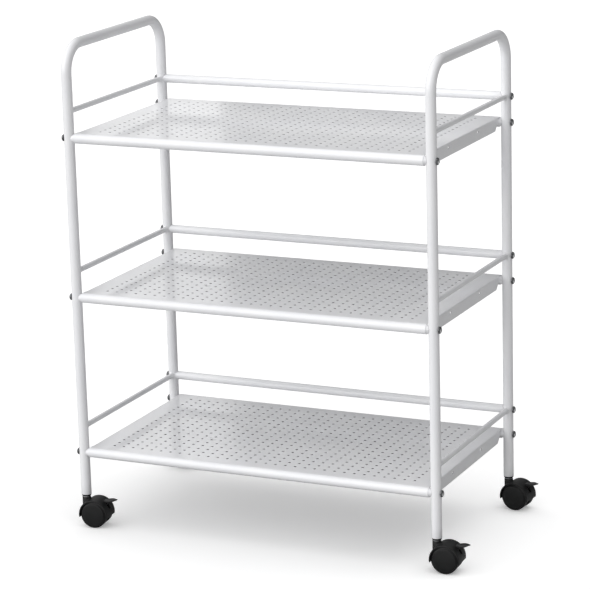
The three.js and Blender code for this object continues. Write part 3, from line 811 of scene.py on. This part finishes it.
def lever():
    """Brake lever: a tongue on its cross pin and a leaf-shaped foot paddle with a dished upper face."""
    shape = Shape()
    tongue = [(31.4, 41.2), (33.2, 37.2), (37.2, 37.4), (39.6, 41.0), (45.0, 48.5), (38.0, 50.6)]
    slab(shape, rounded(tongue, 1.2), 3.2, 0.4)
    shape.turned([(0.0, -5.4), (1.3, -5.4), (1.6, -5.1), (1.6, 5.1), (1.3, 5.4), (0.0, 5.4)], "y", 20,
                 (34.8, 0, 40.3))
    # along the leaf: distance, half width, underside, upper side
    keys = np.array([(36.3, 4.6, 50.6, 51.1), (36.6, 5.4, 50.2, 51.3), (37.6, 6.0, 49.3, 51.6),
                     (39.5, 6.6, 48.1, 52.0), (42.0, 7.3, 47.1, 52.5), (44.5, 7.9, 46.9, 53.0),
                     (47.0, 8.2, 47.1, 53.4), (49.5, 8.2, 47.8, 53.6), (52.0, 7.7, 48.8, 53.7),
                     (54.5, 6.8, 49.8, 53.7), (57.0, 5.3, 50.9, 53.6), (59.0, 3.9, 51.6, 53.4),
                     (60.6, 2.6, 52.1, 53.2), (61.6, 1.6, 52.5, 53.05), (62.1, 0.9, 52.7, 52.95),
                     (62.3, 0.3, 52.8, 52.85)])
    turn = around(44)
    c, s = np.cos(turn), np.sin(turn)
    rings = []
    for x in np.concatenate([keys[:3, 0], np.arange(38.2, 61.0, 0.6), keys[-3:, 0]]):
        w, low, high = (np.interp(x, keys[:, 0], keys[:, k]) for k in (1, 2, 3))
        y = w * np.sign(c) * np.abs(c) ** 0.5
        z = (low + high) / 2 + (high - low) / 2 * np.sign(s) * np.abs(s) ** 0.62
        # the upper face is hollowed inside a narrow rim that fades out at both ends
        depth = 1.5 * min(1, max(0.0, (x - 38.5) / 5), max(0.0, (61.5 - x) / 5))
        hollow = depth * np.clip((0.8 - np.abs(y) / w) / 0.35, 0, 1) * (s > 0.2)
        rings.append(np.stack([0 * y + x, y, z - np.minimum(hollow, (high - low) * 0.45)], 1))
    shape.loft(rings, caps=(True, True))
    return shape.mesh("brake_lever", sharp=45)


plug_mesh, stem_mesh, axle_mesh = leg_plug(), stem(), axle_pin()
hood_mesh, wheel_mesh, lever_mesh = hood(), wheel(), lever()
for name, (x, y, degrees) in CASTERS.items():
    swing = math.radians(degrees)
    caster = f"{name}_caster"
    foot = (x, y, 0)
    hub = (x + TRAIL * math.cos(swing), y + TRAIL * math.sin(swing), WHEEL_R)
    put(f"{name}_plug", plug_mesh, "cart", f"{name}_leg_plug", nylon, foot, swing)
    put(f"{name}_stem", stem_mesh, "cart", f"{caster}_stem", steel, foot, swing)
    put(f"{name}_hood", hood_mesh, caster, f"{caster}_housing", nylon, foot, swing)
    put(f"{name}_axle", axle_mesh, caster, f"{caster}_axle", steel, hub, swing)
    for piece, letter, turned in (("wheel_front", "a", math.pi), ("wheel_rear", "b", 0.0)):
        put(f"{name}_{piece}", wheel_mesh, f"{name}_wheel_{letter}", f"{caster}_wheel_{letter}",
            wheel_nylon, hub, swing + turned)
    put(f"{name}_lever", lever_mesh, f"{name}_brake", f"{name}_brake_lever", lever_nylon,
        foot, swing)


# ---- floor, light and camera ------------------------------------------------------------------
def floor():
    data = bpy.data.meshes.new("floor")
    data.from_pydata([(-30, -30, 0), (30, -30, 0), (30, 30, 0), (-30, 30, 0)], [], [(0, 1, 2, 3)])
    plane = bpy.data.objects.new("floor", data)
    bpy.context.scene.collection.objects.link(plane)
    m = Nodes("pale_floor")
    place = m.coordinates()
    cloud = m.noise(place, 1.3, 2.0)
    tint = m.blend(cloud, 0, (0.93, 0.93, 0.93), (0.95, 0.95, 0.95))
    m.link(tint[0], tint[1], m.shader, "Base Color")
    m.set(Roughness=0.85, Specular_IOR_Level=0.2, Emission_Color=(1, 1, 1, 1), Emission_Strength=0.26)
    # less of it comes back onto the trolley than the floor shows
    bounce = m.new("ShaderNodeBsdfDiffuse")
    bounce.inputs["Color"].default_value = (0.52, 0.52, 0.52, 1)
    path = m.new("ShaderNodeLightPath")
    mix = m.new("ShaderNodeMixShader")
    m.link(path, "Is Camera Ray", mix, 0)
    m.link(bounce, 0, mix, 1)
    m.link(m.shader, 0, mix, 2)
    m.link(mix, 0, m.out, "Surface")
    data.materials.append(m.material)
    return plane


def softbox(name, at, target, width, height, power):
    light = bpy.data.lights.new(name, "AREA")
    light.shape = "RECTANGLE"
    light.size, light.size_y = width, height
    light.energy = power
    lamp = bpy.data.objects.new(name, light)
    bpy.context.scene.collection.objects.link(lamp)
    lamp.location = at
    lamp.rotation_euler = (Vector(target) - Vector(at)).to_track_quat("-Z", "Y").to_euler()
    lamp.visible_camera = False
    return lamp


def sky(name, toward, angle, strength):
    """A broad even lamp that shines the same over the whole floor."""
    light = bpy.data.lights.new(name, "SUN")
    light.angle = math.radians(angle)
    light.energy = strength
    lamp = bpy.data.objects.new(name, light)
    bpy.context.scene.collection.objects.link(lamp)
    lamp.rotation_euler = (-Vector(toward)).to_track_quat("-Z", "Y").to_euler()
    return lamp


def only_lights(lamp, things):
    """Keeps a lamp's light to the named things."""
    lit = bpy.data.collections.new(f"lit_by_{lamp.name}")
    for thing in things:
        lit.objects.link(thing)
    lamp.light_linking.receiver_collection = lit


def world():
    """White surroundings, lit more from the front left and above than from the right."""
    w = bpy.data.worlds.new("studio")
    bpy.context.scene.world = w
    w.use_nodes = True
    tree = w.node_tree
    tree.nodes.clear()
    out = tree.nodes.new("ShaderNodeOutputWorld")
    place = tree.nodes.new("ShaderNodeTexCoord")
    dot = tree.nodes.new("ShaderNodeVectorMath")
    dot.operation = "DOT_PRODUCT"
    dot.inputs[1].default_value = Vector((-0.55, -0.7, 0.35)).normalized()
    level = tree.nodes.new("ShaderNodeMapRange")
    level.interpolation_type = "SMOOTHSTEP"
    for key, value in (("From Min", -0.9), ("From Max", 0.95), ("To Min", 0.1), ("To Max", 1.08)):
        level.inputs[key].default_value = value
    fill = tree.nodes.new("ShaderNodeBackground")
    seen = tree.nodes.new("ShaderNodeBackground")
    seen.inputs["Strength"].default_value = 1.05
    seen.inputs["Color"].default_value = (1, 1, 1, 1)
    fill.inputs["Color"].default_value = (1, 1, 1, 1)
    path = tree.nodes.new("ShaderNodeLightPath")
    mix = tree.nodes.new("ShaderNodeMixShader")
    tree.links.new(place.outputs["Generated"], dot.inputs[0])
    tree.links.new(dot.outputs["Value"], level.inputs["Value"])
    tree.links.new(level.outputs[0], fill.inputs["Strength"])
    tree.links.new(path.outputs["Is Camera Ray"], mix.inputs[0])
    tree.links.new(fill.outputs[0], mix.inputs[1])
    tree.links.new(seen.outputs[0], mix.inputs[2])
    tree.links.new(mix.outputs[0], out.inputs[0])


def camera():
    yaw, pitch, roll = (math.radians(a) for a in (24.93, 14.40, -1.58))
    ahead = Vector((-math.sin(yaw), math.cos(yaw), 0))
    right = Vector((math.cos(yaw), math.sin(yaw), 0))
    up = Vector((0, 0, 1))
    forward = math.cos(pitch) * ahead - math.sin(pitch) * up
    lifted = math.cos(pitch) * up + math.sin(pitch) * ahead
    x = math.cos(roll) * right + math.sin(roll) * lifted
    y = -math.sin(roll) * right + math.cos(roll) * lifted
    data = bpy.data.cameras.new("camera")
    data.sensor_fit = "HORIZONTAL"
    data.sensor_width = 36.0
    data.lens = 161.45
    data.clip_end = 100.0
    cam = bpy.data.objects.new("camera", data)
    bpy.context.scene.collection.objects.link(cam)
    turn = Matrix((x, y, -forward)).transposed().to_4x4()
    cam.matrix_world = Matrix.Translation((1.98409 + SHIFT_X * MM, -4.26049 + SHIFT_Y * MM, 1.63257)) @ turn
    bpy.context.scene.camera = cam


ground = floor()
world()
only_lights(sky("key", (-0.5, -0.8, 0.36), 76, 1.55), pieces)
only_lights(sky("overhead", (0.0, 0.0, 1.0), 75, 0.33), pieces)
only_lights(sky("shade", (0.4, 0.12, 1.0), 56, 0.6), [ground])
only_lights(sky("shade_back", (0.1, 0.6, 1.0), 54, 0.25), [ground])
glare = softbox("glare", (-2.15, 3.49, 1.42), (-0.2, 0.1, 0.74), 0.45, 0.3, 0.7)
glare.visible_diffuse = False
bpy.context.scene.view_settings.view_transform = "Standard"
camera()

bpy.context.view_layer.update()
